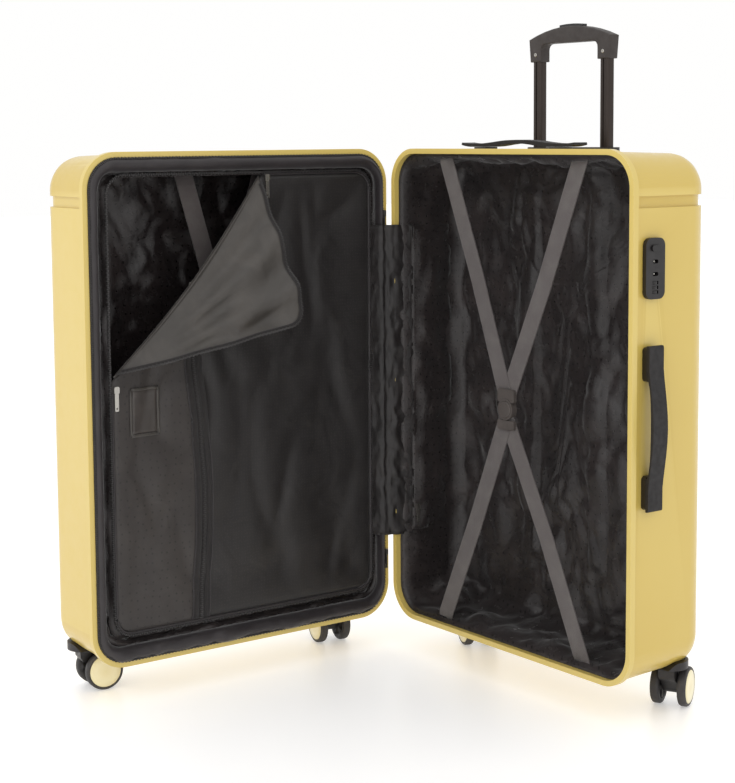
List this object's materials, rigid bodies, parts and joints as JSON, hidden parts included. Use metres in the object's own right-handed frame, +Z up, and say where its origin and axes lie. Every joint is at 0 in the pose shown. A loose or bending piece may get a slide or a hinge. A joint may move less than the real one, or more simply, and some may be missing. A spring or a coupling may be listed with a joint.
{
  "type": "hard shell suitcase",
  "caption": "Large hard shell suitcase standing open like a book, with lined halves, zipped divider, cross straps, telescopic handle, lock and twin-wheel casters.",
  "frame": {"origin": "on the floor, at the middle of the footprint of the case as it stands open at a right angle", "axes": "+X along the rear half, from the hinge to the lock; +Y from the mouth of the rear half to its big face, so the lid half runs along -Y from the hinge; +Z up"},
  "size_m": [0.6572, 0.6678, 0.9223],
  "materials": {
    "yellow_shell": "satin moulded, fine grain",
    "zip_tape": "woven tape with black coil teeth",
    "lining": "glossy dark polyester, wrinkled",
    "divider_cloth": "dark polyester with a soft sheen",
    "webbing": "woven flat webbing",
    "black_plastic": "fine moulded texture",
    "handle_rubber": "matte, warm dark grey",
    "bronze_tube": "satin anodised dark bronze",
    "zinc_metal": "satin",
    "wheel_tyre": "matte tyre on a moulded wheel"
  },
  "bodies": {
    "case": {"rear_shell": "yellow_shell", "rear_rim_trim": "yellow_shell", "rear_lining": "lining", "pocket_panel": "lining", "hinge_flap": "lining", "strap_upper_left": "webbing", "strap_upper_right": "webbing", "strap_lower_left": "webbing", "strap_lower_right": "webbing", "buckle_body": "black_plastic", "buckle_tongue": "black_plastic", "outer_tube_left": "zinc_metal", "outer_tube_right": "zinc_metal", "trolley_bezel": "black_plastic", "trolley_base": "black_plastic", "top_handle_foot_left": "black_plastic", "top_handle_foot_right": "black_plastic", "side_handle_foot_upper": "black_plastic", "side_handle_foot_lower": "black_plastic", "lock_housing": "black_plastic", "rear_hinge_caster_housing": "black_plastic", "rear_lock_caster_housing": "black_plastic"},
    "lid": {"front_shell": "yellow_shell", "front_rim_trim": "yellow_shell", "zip_band": "zip_tape", "front_lining": "lining", "front_cross_strap": "webbing", "divider_panel": "divider_cloth", "lid_hinge_caster_housing": "black_plastic", "lid_lock_caster_housing": "black_plastic"},
    "trolley": {"inner_tube_left": "bronze_tube", "inner_tube_right": "bronze_tube", "trolley_grip": "handle_rubber"},
    "trolley_button": {"trolley_button": "black_plastic"},
    "top_handle": {"top_handle": "handle_rubber"},
    "side_handle": {"side_handle": "handle_rubber"},
    "dial_1": {"lock_dial_1": "black_plastic"},
    "dial_2": {"lock_dial_2": "black_plastic"},
    "dial_3": {"lock_dial_3": "black_plastic"},
    "lock_button": {"lock_button": "black_plastic"},
    "buckle_button": {"buckle_button": "black_plastic"},
    "divider_corner": {"divider_corner_flap": "divider_cloth"},
    "pocket_slider": {"pocket_zip_slider": "zinc_metal"},
    "divider_pocket_slider": {"divider_pocket_zip_slider": "zinc_metal"},
    "divider_slider_top": {"divider_zip_slider_top": "zinc_metal"},
    "divider_slider_side": {"divider_zip_slider_side": "zinc_metal"},
    "main_slider_upper": {"main_zip_slider_upper": "zinc_metal"},
    "main_slider_lower": {"main_zip_slider_lower": "zinc_metal"},
    "rear_hinge_caster_swivel": {"rear_hinge_caster_fork": "black_plastic"},
    "rear_hinge_caster_wheel_a": {"rear_hinge_caster_wheel_a": "wheel_tyre"},
    "rear_hinge_caster_wheel_b": {"rear_hinge_caster_wheel_b": "wheel_tyre"},
    "rear_lock_caster_swivel": {"rear_lock_caster_fork": "black_plastic"},
    "rear_lock_caster_wheel_a": {"rear_lock_caster_wheel_a": "wheel_tyre"},
    "rear_lock_caster_wheel_b": {"rear_lock_caster_wheel_b": "wheel_tyre"},
    "lid_hinge_caster_swivel": {"lid_hinge_caster_fork": "black_plastic"},
    "lid_hinge_caster_wheel_a": {"lid_hinge_caster_wheel_a": "wheel_tyre"},
    "lid_hinge_caster_wheel_b": {"lid_hinge_caster_wheel_b": "wheel_tyre"},
    "lid_lock_caster_swivel": {"lid_lock_caster_fork": "black_plastic"},
    "lid_lock_caster_wheel_a": {"lid_lock_caster_wheel_a": "wheel_tyre"},
    "lid_lock_caster_wheel_b": {"lid_lock_caster_wheel_b": "wheel_tyre"}
  },
  "joints": [
    {"name": "lid_hinge", "type": "hinge", "parent": "case", "child": "lid", "pos_m": [-0.19005, 0.16599, 0.405], "axis": [0, 0, 1], "range_deg": [-90, 90]},
    {"name": "trolley_slide", "type": "slide", "parent": "case", "child": "trolley", "axis": [0, 0, 1], "range_m": [-0.118, 0.14]},
    {"name": "trolley_button_press", "type": "slide", "parent": "trolley", "child": "trolley_button", "axis": [0, 0, -1], "range_m": [0, 0.003], "stiffness_N_per_m": 600},
    {"name": "top_handle_lift", "type": "slide", "parent": "case", "child": "top_handle", "axis": [0, 0, 1], "range_m": [0, 0.012], "stiffness_N_per_m": 500},
    {"name": "side_handle_lift", "type": "slide", "parent": "case", "child": "side_handle", "axis": [1, 0, 0], "range_m": [0, 0.012], "stiffness_N_per_m": 500},
    {"name": "dial_1_turn", "type": "hinge", "parent": "case", "child": "dial_1", "pos_m": [0.30985, 0.20749, 0.569], "axis": [0, 0, 1], "continuous": true},
    {"name": "dial_2_turn", "type": "hinge", "parent": "case", "child": "dial_2", "pos_m": [0.30985, 0.20749, 0.575], "axis": [0, 0, 1], "continuous": true},
    {"name": "dial_3_turn", "type": "hinge", "parent": "case", "child": "dial_3", "pos_m": [0.30985, 0.20749, 0.581], "axis": [0, 0, 1], "continuous": true},
    {"name": "lock_button_slide", "type": "slide", "parent": "case", "child": "lock_button", "axis": [0, 0, 1], "range_m": [0, 0.004], "stiffness_N_per_m": 200},
    {"name": "buckle_button_press", "type": "slide", "parent": "case", "child": "buckle_button", "axis": [0, 1, 0], "range_m": [0, 0.0018], "stiffness_N_per_m": 400},
    {"name": "divider_corner_fold", "type": "hinge", "parent": "lid", "child": "divider_corner", "pos_m": [-0.20305, -0.04661, 0.716], "axis": [0, -0.665, -0.7468], "range_deg": [0, 180]},
    {"name": "pocket_zip", "type": "slide", "parent": "case", "child": "pocket_slider", "axis": [0, 0, 1], "range_m": [0, 0.405]},
    {"name": "divider_pocket_zip", "type": "slide", "parent": "lid", "child": "divider_pocket_slider", "axis": [0, 0, 1], "range_m": [-0.44, 0]},
    {"name": "divider_zip_top", "type": "slide", "parent": "lid", "child": "divider_slider_top", "axis": [0, 1, 0], "range_m": [0, 0.15]},
    {"name": "divider_zip_side", "type": "slide", "parent": "lid", "child": "divider_slider_side", "axis": [0, 0, 1], "range_m": [-0.25, 0]},
    {"name": "main_zip_upper", "type": "slide", "parent": "lid", "child": "main_slider_upper", "axis": [0, 0, 1], "range_m": [0, 0.035]},
    {"name": "main_zip_lower", "type": "slide", "parent": "lid", "child": "main_slider_lower", "axis": [0, 0, 1], "range_m": [-0.02, 0]},
    {"name": "rear_hinge_caster_swivel", "type": "hinge", "parent": "case", "child": "rear_hinge_caster_swivel", "pos_m": [-0.13545, 0.28249, 0.055], "axis": [0, 0, 1], "continuous": true},
    {"name": "rear_hinge_caster_wheel_a_roll", "type": "hinge", "parent": "rear_hinge_caster_swivel", "child": "rear_hinge_caster_wheel_a", "pos_m": [-0.12392, 0.25861, 0.027], "axis": [0.342, 0.9397, 0], "continuous": true},
    {"name": "rear_hinge_caster_wheel_b_roll", "type": "hinge", "parent": "rear_hinge_caster_swivel", "child": "rear_hinge_caster_wheel_b", "pos_m": [-0.11127, 0.29338, 0.027], "axis": [0.342, 0.9397, 0], "continuous": true},
    {"name": "rear_lock_caster_swivel", "type": "hinge", "parent": "case", "child": "rear_lock_caster_swivel", "pos_m": [0.27255, 0.28249, 0.055], "axis": [0, 0, 1], "continuous": true},
    {"name": "rear_lock_caster_wheel_a_roll", "type": "hinge", "parent": "rear_lock_caster_swivel", "child": "rear_lock_caster_wheel_a", "pos_m": [0.27997, 0.30795, 0.027], "axis": [-0.8829, -0.4695, 0], "continuous": true},
    {"name": "rear_lock_caster_wheel_b_roll", "type": "hinge", "parent": "rear_lock_caster_swivel", "child": "rear_lock_caster_wheel_b", "pos_m": [0.2473, 0.29058, 0.027], "axis": [-0.8829, -0.4695, 0], "continuous": true},
    {"name": "lid_hinge_caster_swivel", "type": "hinge", "parent": "lid", "child": "lid_hinge_caster_swivel", "pos_m": [-0.28855, 0.11139, 0.055], "axis": [0, 0, 1], "continuous": true},
    {"name": "lid_hinge_caster_wheel_a_roll", "type": "hinge", "parent": "lid_hinge_caster_swivel", "child": "lid_hinge_caster_wheel_a", "pos_m": [-0.27343, 0.08961, 0.027], "axis": [0.1908, 0.9816, 0], "continuous": true},
    {"name": "lid_hinge_caster_wheel_b_roll", "type": "hinge", "parent": "lid_hinge_caster_swivel", "child": "lid_hinge_caster_wheel_b", "pos_m": [-0.26637, 0.12593, 0.027], "axis": [0.1908, 0.9816, 0], "continuous": true},
    {"name": "lid_lock_caster_swivel", "type": "hinge", "parent": "lid", "child": "lid_lock_caster_swivel", "pos_m": [-0.28855, -0.29661, 0.055], "axis": [0, 0, 1], "continuous": true},
    {"name": "lid_lock_caster_wheel_a_roll", "type": "hinge", "parent": "lid_lock_caster_swivel", "child": "lid_lock_caster_wheel_a", "pos_m": [-0.26787, -0.28001, 0.027], "axis": [-0.9925, 0.1219, 0], "continuous": true},
    {"name": "lid_lock_caster_wheel_b_roll", "type": "hinge", "parent": "lid_lock_caster_swivel", "child": "lid_lock_caster_wheel_b", "pos_m": [-0.3046, -0.2755, 0.027], "axis": [-0.9925, 0.1219, 0], "continuous": true}
  ]
}
